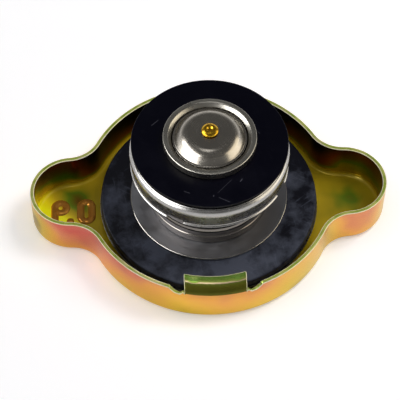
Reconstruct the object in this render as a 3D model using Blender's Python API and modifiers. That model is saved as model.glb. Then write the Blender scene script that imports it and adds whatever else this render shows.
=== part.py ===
# Two-eared pressure cap for a radiator neck, lying on its outer face with its valve side up.
# Metres, +Z up. The origin is on the cap's axis, in the plane of the outer face.
# The ears point along X and the two locking tabs along Y.
import math

import bmesh
import bpy

# Clearances
seat_gap = 0.00025  # between faces that touch on the real cap
slide_gap = 0.0005  # beside what slides or turns
fold_slit = 0.00015  # left open inside the hemmed edge of the valve cup

# Shell: one pressed sheet
ear_span = 0.0900
ear_radius = 0.0104
shell_radius = 0.03175
shell_height = 0.0115
shell_sheet = 0.0012
shell_corner = 0.0022
neck_blend = 0.0082  # concave radius between an ear and the round body
recess_radius = 0.0150  # round recess in the outer face, for the rivet head
recess_depth = 0.00235
recess_run = 0.0020  # how far the recess wall slopes in
tab_width = 0.0153
tab_reach = 0.0049
tab_bend = 0.0032
tab_corner = 0.0009
notch_width = 0.0030
notch_depth = 0.0020

# Clamped stack, from the shell upwards
rivet_radius = 0.0030
rivet_head_shoulder = 0.0022
rivet_head_height = 0.0014
rivet_head_round = 0.0011
clinch_shoulder = 0.0014
clinch_height = 0.0011
slip_washer_radius = 0.0095
slip_washer_thickness = 0.0003
spring_disc_overhang = 0.0003
spring_disc_thickness = 0.0003
neck_space = 0.0032  # ring left for the neck between the gasket and the skirt
gasket_thickness = 0.0024
gasket_round = 0.0006
gasket_margin = 0.0075  # of bare gasket outside the plate
plate_thickness = 0.0006
plate_round = 0.0002
rivet_washer_radius = 0.0058
rivet_washer_thickness = 0.0005

# Bell: a drawn cup that stands on the plate and guides the pressure valve
bell_flange_width = 0.0026
bell_sheet = 0.0006
bell_corner = 0.0009
bead_bulge = 0.00035
bead_base = 0.0022  # height of the bead above the bell's foot
bead_height = 0.0028
bell_flange_round = 0.0008

# Pressure valve
valve_reach = 0.02265  # from the gasket's face to the face of the pressure seal
pressure_travel = 0.0040
cup_radius = 0.01945
cup_sheet = 0.0004
skirt_step = 0.0004  # the skirt is this much smaller than the hemmed edge
hem_height = 0.0039
hem_drop = 0.00075  # the hem lies this much below the seal's face
hem_lean = 0.00035  # its shoulder leans in this much
hem_shoulder = 0.0014
lip_flare = 0.00095  # the skirt widens this much down to its lip
seal_thickness = 0.0020
seal_overlap = 0.00085  # how far the seal's lip spreads over the hem
seal_lip = 0.0005
claw_fold = 0.00045  # above the lip, where a claw bends in
claw_root = 0.0011  # above the lip, from where the skirt keeps its line
claw_rise = 0.0001  # of a claw's bend above its tip
claw_hook = 0.0010  # how far a claw reaches under the bell's flange
flow_gap = 0.0018  # round the stem, in the cup's centre hole
retainer_rim = 0.0021
retainer_rise = 0.0024  # above the seal's face
retainer_sheet = 0.0005
retainer_round = 0.0004
retainer_slope_run = 0.00105  # the inner side of its rim slopes down to the vacuum valve
retainer_slope_drop = 0.0008

# Vacuum valve
vacuum_travel = 0.0018
vacuum_disc_radius = 0.00905
vacuum_flat_radius = 0.0059
vacuum_disc_rise = 0.0041  # of its flat centre above the face of the pressure seal
vacuum_disc_height = 0.0026
vacuum_disc_sheet = 0.00045
vacuum_disc_bend = 0.0009
vacuum_edge_run = 0.00045  # flat edge outside the cone
vacuum_seal_bore = 0.0060
stem_radius = 0.0016
stem_head_shoulder = 0.00055
stem_head_height = 0.0008
stem_dimple = 0.0008
stem_foot_shoulder = 0.0010
stem_foot_height = 0.0008
keeper_sheet = 0.0005
keeper_rim = 0.0012

# Springs
main_wire = 0.0017
coil_gap = 0.00015  # between neighbouring turns where a spring is closed
main_active_turns = 3.5
vacuum_wire = 0.0006
vacuum_coil_radius = 0.0050
vacuum_active_turns = 3.5

# Fineness
fine_steps = 40
plain_steps = 30
small_steps = 20
arc_steps = 2
corner_steps = 3
tab_steps = 3
body_steps = 5
blend_steps = 4
ear_steps = 6
main_turn_points = 14
vacuum_turn_points = 12
sharp_angle = math.radians(40)
same_place = 0.00002  # closer than this is the same place
claw_count = 4
claw_first_column = 6  # of fine_steps, counted from +X towards +Y

# Places that follow from the sizes
shaft_hole = rivet_radius + seat_gap
ear_centre = ear_span / 2 - ear_radius
rivet_head_radius = rivet_radius + rivet_head_shoulder
clinch_radius = rivet_radius + clinch_shoulder
gasket_radius = shell_radius - shell_sheet - neck_space
plate_radius = gasket_radius - gasket_margin
slip_washer_bottom = recess_depth + shell_sheet + seat_gap
spring_disc_bottom = slip_washer_bottom + slip_washer_thickness + seat_gap
gasket_bottom = spring_disc_bottom + spring_disc_thickness + seat_gap
gasket_top = gasket_bottom + gasket_thickness
plate_bottom = gasket_top + seat_gap
bell_foot = plate_bottom + plate_thickness + seat_gap
bell_floor = bell_foot + bell_sheet
rivet_washer_bottom = bell_floor + seat_gap
clinch_bottom = rivet_washer_bottom + rivet_washer_thickness + seat_gap
seal_face = gasket_top + valve_reach
cup_top = seal_face - seal_thickness - seat_gap
cup_ceiling = cup_top - cup_sheet
bell_flange_bottom = cup_ceiling - slide_gap - pressure_travel - bell_sheet
lip_bottom = bell_flange_bottom - seat_gap - cup_sheet
skirt_radius = cup_radius - skirt_step
hem_inner_radius = cup_radius - 2 * cup_sheet - fold_slit
bell_flange_radius = skirt_radius - cup_sheet - 2 * slide_gap
bell_radius = bell_flange_radius - bell_flange_width
cup_hole_radius = stem_radius + flow_gap
well_radius = vacuum_disc_radius + seat_gap
retainer_radius = well_radius + retainer_rim
stem_head_radius = stem_radius + stem_head_shoulder
stem_foot_radius = stem_radius + stem_foot_shoulder
vacuum_disc_top = seal_face + vacuum_disc_rise
vacuum_disc_edge = vacuum_disc_top - vacuum_disc_height
well_floor = cup_top + seat_gap + retainer_sheet
vacuum_spring_top = cup_ceiling - seat_gap
vacuum_spring_length = (vacuum_active_turns + 2) * (vacuum_wire + coil_gap) + vacuum_travel
keeper_top = vacuum_spring_top - vacuum_spring_length - seat_gap
keeper_inner_radius = vacuum_coil_radius + vacuum_wire / 2 + seat_gap


def clear_scene():
    for item in list(bpy.data.objects):
        bpy.data.objects.remove(item, do_unlink=True)
    for group in list(bpy.data.collections):
        bpy.data.collections.remove(group)


def new_collection(name):
    group = bpy.data.collections.new(name)
    bpy.context.scene.collection.children.link(group)
    return group


def material(name, colour, roughness, metallic):
    made = bpy.data.materials.new(name)
    made.use_nodes = True
    shader = made.node_tree.nodes["Principled BSDF"]
    shader.inputs["Base Color"].default_value = (*colour, 1.0)
    shader.inputs["Roughness"].default_value = roughness
    shader.inputs["Metallic"].default_value = metallic
    made.diffuse_color = (*colour, 1.0)
    return made


def place(mesh_or_curve, name, finish, group):
    """Link a new object of this mesh or curve to the parts collection."""
    item = bpy.data.objects.new(name, mesh_or_curve)
    mesh_or_curve.materials.append(finish)
    group.objects.link(item)
    return item


def rounded(corners, closed):
    """Turn (radius, height, round) corners into a profile whose corners are arcs."""
    points = []
    last = len(corners) - 1
    for index, (radius, height, bend) in enumerate(corners):
        at_end = not closed and index in (0, last)
        if bend == 0 or at_end:
            points.append((radius, height))
            continue
        before = corners[index - 1]
        after = corners[(index + 1) % len(corners)]
        points.extend(arc_at((radius, height), before[:2], after[:2], bend))
    return points


def arc_at(corner, before, after, bend):
    """Points of the arc that rounds one corner; it never takes more than half of a side."""
    back = (before[0] - corner[0], before[1] - corner[1])
    ahead = (after[0] - corner[0], after[1] - corner[1])
    back_length = math.hypot(*back)
    ahead_length = math.hypot(*ahead)
    back = (back[0] / back_length, back[1] / back_length)
    ahead = (ahead[0] / ahead_length, ahead[1] / ahead_length)
    half_angle = math.acos(max(-1.0, min(1.0, back[0] * ahead[0] + back[1] * ahead[1]))) / 2
    cut = min(bend / math.tan(half_angle), 0.49 * back_length, 0.49 * ahead_length)
    reach = cut / math.cos(half_angle)
    bend = cut * math.tan(half_angle)
    middle = (back[0] + ahead[0], back[1] + ahead[1])
    middle_length = math.hypot(*middle)
    centre = (corner[0] + middle[0] / middle_length * reach, corner[1] + middle[1] / middle_length * reach)
    start = math.atan2(corner[1] + back[1] * cut - centre[1], corner[0] + back[0] * cut - centre[0])
    end = math.atan2(corner[1] + ahead[1] * cut - centre[1], corner[0] + ahead[0] * cut - centre[0])
    turn = (end - start + math.pi) % (2 * math.pi) - math.pi
    points = []
    for step in range(arc_steps + 1):
        angle = start + turn * step / arc_steps
        points.append((centre[0] + bend * math.cos(angle), centre[1] + bend * math.sin(angle)))
    return points


def profile_mesh(name, points, closed):
    shape = bmesh.new()
    verts = [shape.verts.new((radius, 0, height)) for radius, height in points]
    for first, second in zip(verts, verts[1:]):
        shape.edges.new((first, second))
    if closed:
        shape.edges.new((verts[-1], verts[0]))
    mesh = bpy.data.meshes.new(name)
    shape.to_mesh(mesh)
    shape.free()
    return mesh


def add_screw(item, steps):
    screw = item.modifiers.new("Turn", "SCREW")
    screw.axis = "Z"
    screw.angle = 2 * math.pi
    screw.steps = steps
    screw.render_steps = steps
    screw.use_merge_vertices = True
    screw.merge_threshold = 0.000001
    screw.use_smooth_shade = True


def add_sheet(item, thickness):
    """Give an open surface its sheet thickness, on the side away from its normals."""
    sheet = item.modifiers.new("Sheet", "SOLIDIFY")
    sheet.thickness = thickness
    sheet.offset = -1
    sheet.use_even_offset = True
    sheet.use_rim = True


def turned_ring(name, corners, steps, finish, group):
    """A solid ring turned from a closed profile that runs down its outer side."""
    mesh = profile_mesh(name, rounded(corners, True), True)
    item = place(mesh, name, finish, group)
    add_screw(item, steps)
    return item


def turned_core(name, corners, steps, finish, group):
    """A solid turned from a profile that starts and ends on the axis."""
    mesh = profile_mesh(name, rounded(corners, False), False)
    item = place(mesh, name, finish, group)
    add_screw(item, steps)
    return item


def turned_sheet(name, corners, steps, thickness, finish, group):
    """Pressed sheet turned from the line of its outer face."""
    mesh = profile_mesh(name, rounded(corners, False), False)
    item = place(mesh, name, finish, group)
    add_screw(item, steps)
    add_sheet(item, thickness)
    return item


def washer(name, hole, radius, bottom, thickness, steps, finish, group):
    top = bottom + thickness
    corners = [(hole, top, 0), (radius, top, 0), (radius, bottom, 0), (hole, bottom, 0)]
    return turned_ring(name, corners, steps, finish, group)


# Shell

def blend_centre():
    """Centre of the concave arc that joins the round body to the ear at +X, +Y."""
    to_body = shell_radius + neck_blend
    to_ear = ear_radius + neck_blend
    along = (to_body**2 - to_ear**2 + ear_centre**2) / (2 * ear_centre)
    return along, math.sqrt(to_body**2 - along**2)


def arc_columns(kind, start, end, count):
    """Columns along one arc of the outline, without the first."""
    return [(kind, start + (end - start) * step / count) for step in range(1, count + 1)]


def shell_columns():
    """The outline of a quarter of the shell, from the tab's middle to the ear's tip."""
    half = tab_width / 2
    columns = [("tab", (half - tab_corner) * step / tab_steps) for step in range(tab_steps + 1)]
    columns.append(("tab", half))
    notch_end = math.acos((half + notch_width) / shell_radius)
    centre = blend_centre()
    body_end = math.atan2(centre[1], centre[0])
    columns.append(("body", notch_end))
    columns.extend(arc_columns("body", notch_end, body_end, body_steps))
    blend_end = math.atan2(-centre[1], ear_centre - centre[0])
    columns.extend(arc_columns("blend", body_end - math.pi, blend_end, blend_steps))
    columns.extend(arc_columns("ear", blend_end + math.pi, 0, ear_steps))
    return columns


def outline_point(column, inset):
    """A point of the outline drawn in by inset."""
    kind, value = column
    body = shell_radius - inset
    if kind == "tab":
        return value, math.sqrt(body**2 - value**2)
    if kind == "body":
        return body * math.cos(value), body * math.sin(value)
    if kind == "blend":
        centre = blend_centre()
        bend = neck_blend + inset
        return centre[0] + bend * math.cos(value), centre[1] + bend * math.sin(value)
    ear = ear_radius - inset
    return ear_centre + ear * math.cos(value), ear * math.sin(value)


def on_circle(column, radius):
    """The point of a circle that lies in the direction of a column."""
    x, y = outline_point(column, 0)
    angle = math.atan2(y, x)
    return radius * math.cos(angle), radius * math.sin(angle)


def extrude_row(shape, edges, columns, locate, height):
    """Extrude a row of edges, and place each new vertex by the column that it belongs to."""
    layer = shape.verts.layers.int["column"]
    made = bmesh.ops.extrude_edge_only(shape, edges=edges)["geom"]
    for vert in made:
        if isinstance(vert, bmesh.types.BMVert):
            x, y = locate(columns[vert[layer]])
            vert.co = (x, y, height)
    return [edge for edge in made if isinstance(edge, bmesh.types.BMEdge) and is_row_edge(edge, layer)]


def is_row_edge(edge, layer):
    first, second = edge.verts
    return first[layer] != second[layer]


def edge_columns(edge, layer):
    return sorted(vert[layer] for vert in edge.verts)


def shell_quarter():
    """Outer surface of a quarter of the shell: recess, floor, corner, skirt and half a tab."""
    columns = shell_columns()
    tab_edge = sum(1 for kind, _ in columns if kind == "tab") - 1
    shape = bmesh.new()
    layer = shape.verts.layers.int.new("column")
    verts = []
    for index, column in enumerate(columns):
        x, y = on_circle(column, shaft_hole)
        vert = shape.verts.new((x, y, recess_depth))
        vert[layer] = index
        verts.append(vert)
    row = [shape.edges.new(pair) for pair in zip(verts, verts[1:])]
    for radius, height in ((recess_radius - recess_run, recess_depth), (recess_radius, 0)):
        row = extrude_row(shape, row, columns, lambda column: on_circle(column, radius), height)
    for step in range(corner_steps + 1):
        turn = math.pi / 2 * step / corner_steps
        inset = shell_corner * (1 - math.sin(turn))
        height = shell_corner * (1 - math.cos(turn))
        row = extrude_row(shape, row, columns, lambda column: outline_point(column, inset), height)
    bend_start = shell_height - tab_bend
    row = extrude_row(shape, row, columns, lambda column: outline_point(column, 0), bend_start)
    notch_floor = shell_height - notch_depth
    notch_turn = math.asin((notch_floor - bend_start) / tab_bend)
    tuck = tab_bend * (1 - math.cos(notch_turn))
    row = extrude_row(
        shape,
        row,
        columns,
        lambda column: outline_point(column, tuck if column[0] == "tab" else 0),
        notch_floor,
    )
    tab_row = [edge for edge in row if edge_columns(edge, layer)[1] <= tab_edge]
    rim_row = [edge for edge in row if edge_columns(edge, layer)[0] > tab_edge]
    extrude_row(shape, rim_row, columns, lambda column: outline_point(column, 0), shell_height)
    for step in range(1, corner_steps + 1):
        turn = notch_turn + (math.pi / 2 - notch_turn) * step / corner_steps
        inset = tab_bend * (1 - math.cos(turn))
        height = shell_height - tab_bend * (1 - math.sin(turn))
        tab_row = extrude_row(shape, tab_row, columns, lambda column: outline_point(column, inset), height)
    tip = tab_reach - tab_corner
    tab_row = extrude_row(shape, tab_row, columns, lambda column: outline_point(column, tip), shell_height)
    tab_row = [edge for edge in tab_row if edge_columns(edge, layer)[1] < tab_edge]
    extrude_row(shape, tab_row, columns, lambda column: outline_point(column, tab_reach), shell_height)
    close_tab_corner(shape, layer, tab_edge)
    return shape


def close_tab_corner(shape, layer, tab_edge):
    """Fill the slanted corner at the tip of the tab with one triangle."""
    tip = tab_reach - tab_corner
    corners = []
    for column, inset in ((tab_edge, tip), (tab_edge - 1, tip), (tab_edge - 1, tab_reach)):
        radius = shell_radius - inset
        for vert in shape.verts:
            on_arc = abs(math.hypot(vert.co.x, vert.co.y) - radius) < same_place
            if vert[layer] == column and on_arc and abs(vert.co.z - shell_height) < same_place:
                corners.append(vert)
    bmesh.ops.contextual_create(shape, geom=corners)


def make_shell(group):
    finish = material("yellow_zinc_steel", (0.62, 0.47, 0.13), 0.32, 0.9)
    shape = shell_quarter()
    bmesh.ops.recalc_face_normals(shape, faces=shape.faces)
    lowest = min(shape.faces, key=lambda face: face.calc_center_median().z)
    if lowest.normal.z > 0:
        bmesh.ops.reverse_faces(shape, faces=shape.faces)
    mesh = bpy.data.meshes.new("shell")
    shape.to_mesh(mesh)
    shape.free()
    mesh.shade_smooth()
    mesh.set_sharp_from_angle(angle=sharp_angle)
    item = place(mesh, "shell", finish, group)
    mirror = item.modifiers.new("Quarters", "MIRROR")
    mirror.use_axis = (True, True, False)
    mirror.merge_threshold = 0.000005
    add_sheet(item, shell_sheet)


# Clamped stack

def make_centre_rivet(group):
    finish = material("rivet_steel", (0.55, 0.53, 0.48), 0.35, 1.0)
    head_top = recess_depth - seat_gap
    clinch_top = clinch_bottom + clinch_height
    corners = [
        (0, clinch_top, 0),
        (clinch_radius, clinch_top, clinch_height / 2),
        (clinch_radius, clinch_bottom, 0),
        (rivet_radius, clinch_bottom, 0),
        (rivet_radius, head_top, 0),
        (rivet_head_radius, head_top, 0),
        (rivet_head_radius, head_top - rivet_head_height, rivet_head_round),
        (0, head_top - rivet_head_height, 0),
    ]
    turned_core("centre_rivet", corners, small_steps, finish, group)


def make_washers(group):
    finish = material("washer_steel", (0.52, 0.51, 0.49), 0.4, 1.0)
    washer(
        "slip_washer",
        shaft_hole,
        slip_washer_radius,
        slip_washer_bottom,
        slip_washer_thickness,
        small_steps,
        finish,
        group,
    )
    washer(
        "rivet_washer",
        shaft_hole,
        rivet_washer_radius,
        rivet_washer_bottom,
        rivet_washer_thickness,
        small_steps,
        finish,
        group,
    )


def make_spring_disc(group):
    finish = material("spring_steel", (0.5, 0.49, 0.47), 0.3, 1.0)
    radius = gasket_radius + spring_disc_overhang
    washer("spring_disc", shaft_hole, radius, spring_disc_bottom, spring_disc_thickness, fine_steps, finish, group)


def make_neck_gasket(group):
    finish = material("gasket_rubber", (0.035, 0.04, 0.05), 0.6, 0.0)
    corners = [
        (shaft_hole, gasket_top, 0),
        (gasket_radius, gasket_top, gasket_round),
        (gasket_radius, gasket_bottom, 0),
        (shaft_hole, gasket_bottom, 0),
    ]
    turned_ring("neck_gasket", corners, fine_steps, finish, group)


def make_backing_plate(group):
    finish = material("plate_stainless", (0.45, 0.44, 0.42), 0.35, 1.0)
    top = plate_bottom + plate_thickness
    corners = [
        (shaft_hole, top, 0),
        (plate_radius, top, plate_round),
        (plate_radius, plate_bottom, 0),
        (shaft_hole, plate_bottom, 0),
    ]
    turned_ring("backing_plate", corners, fine_steps, finish, group)


def make_bell(group):
    finish = material("bell_stainless", (0.5, 0.49, 0.46), 0.28, 1.0)
    bead_foot = bell_foot + bead_base
    bead_top = bead_foot + bead_height
    corners = [
        (bell_flange_radius, bell_flange_bottom, 0),
        (bell_radius, bell_flange_bottom, bell_flange_round),
        (bell_radius, bead_top, 0),
        (bell_radius + bead_bulge, bead_top - bead_bulge, 0),
        (bell_radius + bead_bulge, bead_foot + bead_bulge, 0),
        (bell_radius, bead_foot, 0),
        (bell_radius, bell_foot, bell_corner),
        (shaft_hole, bell_foot, 0),
    ]
    turned_sheet("bell", corners, plain_steps, bell_sheet, finish, group)


# Pressure valve

def cup_line():
    """Line of the cup's outer face, from its centre hole over the hem and down to the lip."""
    hem_top = seal_face - hem_drop
    hem_bottom = hem_top - hem_height
    hem_round = (cup_radius - hem_lean - hem_inner_radius) / 2
    return rounded(
        [
            (cup_hole_radius, cup_top, 0),
            (hem_inner_radius, cup_top, 0),
            (hem_inner_radius, hem_top, hem_round),
            (cup_radius - hem_lean, hem_top, hem_round),
            (cup_radius, hem_top - hem_shoulder, 0),
            (cup_radius, hem_bottom + skirt_step, 0),
            (skirt_radius, hem_bottom, 0),
            skirt_point(claw_root, hem_bottom),
            skirt_point(claw_fold, hem_bottom),
            skirt_point(0, hem_bottom),
        ],
        False,
    )


def skirt_point(above_lip, hem_bottom):
    """Corner of the cup's line on its widening skirt, at a height above the lip."""
    share = 1 - above_lip / (hem_bottom - lip_bottom)
    return skirt_radius + lip_flare * share, lip_bottom + above_lip, 0


def column_of(vert):
    """Number of the column that a point of the cup stands in, counted round from +X."""
    return round(math.atan2(vert.co.y, vert.co.x) / (2 * math.pi) * fine_steps) % fine_steps


def is_claw_column(column):
    """Two neighbouring columns in each claw are bent in."""
    spacing = fine_steps // claw_count
    return (column - claw_first_column) % spacing in (0, 1)


def bend_claws(shape):
    """Slit the lip beside short tongues and bend them in, so that they hook under the bell's flange."""
    fold = lip_bottom + claw_fold + same_place
    lip_faces = [face for face in shape.faces if max(vert.co.z for vert in face.verts) < fold]
    slits = [face for face in lip_faces if len({is_claw_column(column_of(vert)) for vert in face.verts}) == 2]
    bmesh.ops.delete(shape, geom=slits, context="FACES_ONLY")
    for vert in shape.verts:
        if vert.co.z > fold or not is_claw_column(column_of(vert)):
            continue
        at_tip = vert.co.z < lip_bottom + same_place
        radius = bell_flange_radius - claw_hook if at_tip else skirt_radius - cup_sheet
        vert.co.z = lip_bottom if at_tip else lip_bottom + claw_rise
        scale = radius / math.hypot(vert.co.x, vert.co.y)
        vert.co.x *= scale
        vert.co.y *= scale


def make_valve_cup(group):
    finish = material("cup_stainless", (0.55, 0.54, 0.51), 0.22, 1.0)
    shape = bmesh.new()
    verts = [shape.verts.new((radius, 0, height)) for radius, height in cup_line()]
    edges = [shape.edges.new(pair) for pair in zip(verts, verts[1:])]
    bmesh.ops.spin(
        shape,
        geom=verts + edges,
        cent=(0, 0, 0),
        axis=(0, 0, 1),
        angle=2 * math.pi,
        steps=fine_steps,
        use_merge=True,
    )
    bend_claws(shape)
    highest = max(shape.faces, key=lambda face: face.calc_center_median().z)
    if highest.normal.z < 0:
        bmesh.ops.reverse_faces(shape, faces=shape.faces)
    mesh = bpy.data.meshes.new("valve_cup")
    shape.to_mesh(mesh)
    shape.free()
    mesh.shade_smooth()
    mesh.set_sharp_from_angle(angle=sharp_angle)
    item = place(mesh, "valve_cup", finish, group)
    add_sheet(item, cup_sheet)


def make_pressure_seal(group):
    finish = material("seal_rubber", (0.02, 0.018, 0.03), 0.4, 0.0)
    bore = well_radius + retainer_sheet + seat_gap
    bottom = cup_top + seat_gap
    body_radius = hem_inner_radius - seat_gap
    lip_radius = body_radius + seal_overlap
    corners = [
        (bore, seal_face, 0),
        (lip_radius, seal_face, 0),
        (lip_radius, seal_face - seal_lip, 0),
        (body_radius, seal_face - seal_lip, 0),
        (body_radius, bottom, 0),
        (bore, bottom, 0),
    ]
    turned_ring("pressure_seal", corners, fine_steps, finish, group)


def make_seal_retainer(group):
    finish = material("retainer_stainless", (0.58, 0.57, 0.53), 0.2, 1.0)
    crown = seal_face + retainer_rise
    corners = [
        (vacuum_seal_bore + slide_gap, well_floor, 0),
        (well_radius, well_floor, 0),
        (well_radius, crown - retainer_slope_drop, 0),
        (well_radius + retainer_slope_run, crown, retainer_round),
        (retainer_radius, crown, retainer_round),
        (retainer_radius, seal_face + seat_gap, 0),
    ]
    turned_sheet("seal_retainer", corners, plain_steps, retainer_sheet, finish, group)


# Vacuum valve

def make_vacuum_seal(group):
    finish = material("vacuum_rubber", (0.02, 0.02, 0.022), 0.5, 0.0)
    bottom = well_floor + seat_gap
    top = vacuum_disc_edge - vacuum_disc_sheet - seat_gap
    radius = well_radius - seat_gap
    washer("vacuum_seal", vacuum_seal_bore, radius, bottom, top - bottom, small_steps, finish, group)


def make_vacuum_disc(group):
    finish = material("vacuum_stainless", (0.6, 0.59, 0.55), 0.2, 1.0)
    corners = [
        (stem_radius + seat_gap, vacuum_disc_top, 0),
        (vacuum_flat_radius, vacuum_disc_top, vacuum_disc_bend),
        (vacuum_disc_radius - vacuum_edge_run, vacuum_disc_edge, 0),
        (vacuum_disc_radius, vacuum_disc_edge, 0),
    ]
    turned_sheet("vacuum_disc", corners, plain_steps, vacuum_disc_sheet, finish, group)


def make_vacuum_stem(group):
    finish = material("stem_brass", (0.75, 0.55, 0.16), 0.25, 1.0)
    head_bottom = vacuum_disc_top + seat_gap
    head_top = head_bottom + stem_head_height
    foot_top = keeper_top - keeper_sheet - seat_gap
    corners = [
        (0, head_top - stem_dimple / 2, 0),
        (stem_dimple / 2, head_top - stem_dimple / 2, 0),
        (stem_dimple, head_top, 0),
        (stem_head_radius, head_top, stem_head_height / 2),
        (stem_head_radius, head_bottom, 0),
        (stem_radius, head_bottom, 0),
        (stem_radius, foot_top, 0),
        (stem_foot_radius, foot_top, 0),
        (stem_foot_radius, foot_top - stem_foot_height, stem_foot_height / 2),
        (0, foot_top - stem_foot_height, 0),
    ]
    turned_core("vacuum_stem", corners, small_steps, finish, group)


def make_spring_keeper(group):
    finish = material("keeper_steel", (0.5, 0.49, 0.47), 0.35, 1.0)
    outer = keeper_inner_radius + keeper_sheet
    underside = keeper_top - keeper_sheet
    corners = [
        (outer, keeper_top + keeper_rim, 0),
        (outer, underside, keeper_sheet),
        (stem_radius + seat_gap, underside, 0),
    ]
    turned_sheet("spring_keeper", corners, small_steps, keeper_sheet, finish, group)


# Springs

def coil_points(radius, bottom, top, wire, active_turns, turn_points):
    """Centre line of a spring with one closed turn at each end."""
    end_pitch = wire + coil_gap
    active_pitch = (top - bottom - 2 * end_pitch) / active_turns
    turns = active_turns + 2
    count = round(turns * turn_points)
    points = []
    for index in range(count + 1):
        turn = turns * index / count
        height = bottom + min(turn, 1) * end_pitch
        height += max(0, min(turn - 1, active_turns)) * active_pitch
        height += max(0, turn - 1 - active_turns) * end_pitch
        angle = 2 * math.pi * turn
        points.append((radius * math.cos(angle), radius * math.sin(angle), height))
    return points


def make_coil(name, points, wire, finish, group):
    curve = bpy.data.curves.new(name, "CURVE")
    curve.dimensions = "3D"
    curve.bevel_depth = wire / 2
    curve.bevel_resolution = 2
    curve.use_fill_caps = True
    spline = curve.splines.new("POLY")
    spline.points.add(len(points) - 1)
    for target, point in zip(spline.points, points):
        target.co = (*point, 1)
    place(curve, name, finish, group)


def make_springs(group):
    finish = material("spring_wire", (0.48, 0.47, 0.45), 0.3, 1.0)
    main_radius = bell_radius - bell_sheet - slide_gap - main_wire / 2
    main_bottom = bell_floor + seat_gap + main_wire / 2
    main_top = cup_ceiling - seat_gap - main_wire / 2
    main_line = coil_points(main_radius, main_bottom, main_top, main_wire, main_active_turns, main_turn_points)
    make_coil("main_spring", main_line, main_wire, finish, group)
    vacuum_bottom = keeper_top + seat_gap + vacuum_wire / 2
    vacuum_top = vacuum_spring_top - vacuum_wire / 2
    vacuum_line = coil_points(
        vacuum_coil_radius, vacuum_bottom, vacuum_top, vacuum_wire, vacuum_active_turns, vacuum_turn_points
    )
    make_coil("vacuum_spring", vacuum_line, vacuum_wire, finish, group)


def main():
    clear_scene()
    group = new_collection("radiator_pressure_cap")
    make_shell(group)
    make_centre_rivet(group)
    make_washers(group)
    make_spring_disc(group)
    make_neck_gasket(group)
    make_backing_plate(group)
    make_bell(group)
    make_valve_cup(group)
    make_pressure_seal(group)
    make_seal_retainer(group)
    make_vacuum_seal(group)
    make_vacuum_disc(group)
    make_vacuum_stem(group)
    make_spring_keeper(group)
    make_springs(group)


main()
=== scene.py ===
# Looks of a two-eared radiator pressure cap that lies on its outer face with its valve side up.
# Metres, +Z up. The cap's axis is Z, its ears point along X and its locking tabs along Y.
import math

import bmesh
import bpy
from mathutils import Matrix, Vector


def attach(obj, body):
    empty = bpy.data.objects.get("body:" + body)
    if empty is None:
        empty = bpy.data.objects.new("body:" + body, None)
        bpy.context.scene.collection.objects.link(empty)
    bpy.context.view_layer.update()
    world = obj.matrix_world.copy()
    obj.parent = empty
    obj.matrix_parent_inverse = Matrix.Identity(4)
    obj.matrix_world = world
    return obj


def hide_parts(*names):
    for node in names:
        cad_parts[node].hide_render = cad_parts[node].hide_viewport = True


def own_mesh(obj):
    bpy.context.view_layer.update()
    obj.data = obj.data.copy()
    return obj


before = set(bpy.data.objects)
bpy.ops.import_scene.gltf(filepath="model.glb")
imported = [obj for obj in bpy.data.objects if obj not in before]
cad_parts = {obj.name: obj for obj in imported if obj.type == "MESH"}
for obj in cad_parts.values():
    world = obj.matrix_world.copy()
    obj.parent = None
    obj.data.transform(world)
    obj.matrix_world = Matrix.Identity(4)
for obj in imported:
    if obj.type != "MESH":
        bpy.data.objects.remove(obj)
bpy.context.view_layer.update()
mm = 0.001


def linearColour(hexColour):
    shares = [int(hexColour[at:at + 2], 16) / 255 for at in (0, 2, 4)]
    linear = [share / 12.92 if share <= 0.04045 else ((share + 0.055) / 1.055) ** 2.4 for share in shares]
    return (*linear, 1.0)


def addNode(tree, kind, settings=None, inputs=None):
    node = tree.nodes.new("ShaderNode" + kind)
    for name, value in (settings or {}).items():
        setattr(node, name, value)
    for name, value in (inputs or {}).items():
        if isinstance(value, bpy.types.NodeSocket):
            tree.links.new(value, node.inputs[name])
        else:
            node.inputs[name].default_value = value
    return node


def newMaterial(name):
    material = bpy.data.materials.new(name)
    material.use_nodes = True
    tree = material.node_tree
    place = addNode(tree, "TexCoord").outputs["Object"]
    return material, tree, tree.nodes["Principled BSDF"], place


# most values of a noise pattern lie between these
noiseSpan = (0.3, 0.7)


def addNoise(tree, place, size, detail=2, roughness=0.5):
    # cloudy pattern whose blots are about size millimetres across
    inputs = {"Vector": place, "Scale": 1 / (size * mm), "Detail": detail, "Roughness": roughness}
    return addNode(tree, "TexNoise", inputs=inputs).outputs["Fac"]


def spread(tree, value, fromLow, fromHigh, toLow, toHigh):
    inputs = {"Value": value, "From Min": fromLow, "From Max": fromHigh, "To Min": toLow, "To Max": toHigh}
    return addNode(tree, "MapRange", inputs=inputs).outputs["Result"]


def compute(tree, operation, *values):
    return addNode(tree, "Math", {"operation": operation}, dict(enumerate(values))).outputs[0]


def vectorStep(tree, operation, *values):
    node = addNode(tree, "VectorMath", {"operation": operation}, dict(enumerate(values)))
    measures = operation in ("DISTANCE", "LENGTH", "DOT_PRODUCT")
    return node.outputs["Value" if measures else "Vector"]


def fromAxis(tree, place):
    # distance from the cap's axis
    return vectorStep(tree, "LENGTH", vectorStep(tree, "MULTIPLY", place, (1, 1, 0)))


def addRamp(tree, value, stops):
    # stops: position, and a hex colour or a grey share
    ramp = addNode(tree, "ValToRGB", inputs={"Fac": value})
    elements = ramp.color_ramp.elements
    while len(elements) < len(stops):
        elements.new(0.5)
    for element, (position, colour) in zip(elements, stops):
        element.position = position
        element.color = linearColour(colour) if isinstance(colour, str) else (colour, colour, colour, 1.0)
    return ramp.outputs["Color"]


def mixColour(tree, share, first, second):
    mix = addNode(tree, "MixRGB", inputs={"Fac": share})
    for name, colour in (("Color1", first), ("Color2", second)):
        if isinstance(colour, str):
            mix.inputs[name].default_value = linearColour(colour)
        else:
            tree.links.new(colour, mix.inputs[name])
    return mix.outputs["Color"]


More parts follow.
